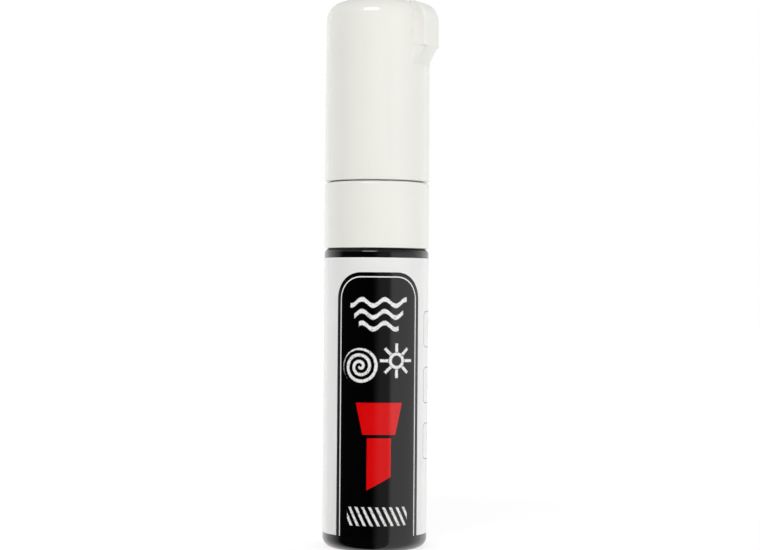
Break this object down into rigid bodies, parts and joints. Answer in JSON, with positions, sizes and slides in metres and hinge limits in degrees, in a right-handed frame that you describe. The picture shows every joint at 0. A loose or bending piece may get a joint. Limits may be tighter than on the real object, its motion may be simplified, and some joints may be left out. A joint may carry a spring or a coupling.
{
  "type": "liquid chalk marker",
  "caption": "Round upright chalk marker with a pull-off cap, anti-roll nub, broad chisel nib, sprung pump valve and a labelled ink barrel.",
  "frame": {"origin": "centre of the flat base that the marker stands on", "axes": "+Z along the barrel's axis towards the cap, +X towards the cap's anti-roll nub"},
  "size_m": [0.028, 0.0256, 0.1326],
  "materials": {
    "white_moulding": "glossy moulded polypropylene, warm white",
    "barrel_black": "glossy moulded polypropylene, black",
    "label_print": "glossy printed film, white with a black field",
    "nib_fibre": "bonded fibre, dull",
    "natural_plastic": "uncoloured polyethylene, dull",
    "seat_rubber": "soft rubber, dull",
    "spring_steel": "drawn stainless wire",
    "ball_steel": "polished steel"
  },
  "bodies": {
    "barrel": {"barrel": "barrel_black", "label": "label_print", "front_section": "white_moulding", "valve_seat": "seat_rubber", "valve_cage": "natural_plastic", "valve_spring": "spring_steel"},
    "nib": {"nib": "nib_fibre"},
    "valve_stem": {"valve_stem": "natural_plastic"},
    "cap": {"cap": "white_moulding", "cap_liner": "natural_plastic"},
    "mixing_ball_1": {"mixing_ball_1": "ball_steel"},
    "mixing_ball_2": {"mixing_ball_2": "ball_steel"}
  },
  "joints": [
    {"name": "cap_pull", "type": "slide", "parent": "barrel", "child": "cap", "axis": [0, 0, 1], "range_m": [0, 0.045]},
    {"name": "nib_press", "type": "slide", "parent": "barrel", "child": "nib", "axis": [0, 0, -1], "range_m": [0, 0.0016], "stiffness_N_per_m": 600, "springref_m": -0.0025},
    {"name": "valve_open", "type": "slide", "parent": "barrel", "child": "valve_stem", "axis": [0, 0, -1], "range_m": [0, 0.0016], "deforming": ["valve_spring"]},
    {"name": "ball_1_rattle", "type": "slide", "parent": "barrel", "child": "mixing_ball_1", "axis": [0, 0, 1], "range_m": [0, 0.056]},
    {"name": "ball_2_rattle", "type": "slide", "parent": "barrel", "child": "mixing_ball_2", "axis": [0, 0, 1], "range_m": [0, 0.056]}
  ],
  "couplings": [
    {"joint": "valve_open", "follows": "nib_press", "ratio": 1}
  ]
}
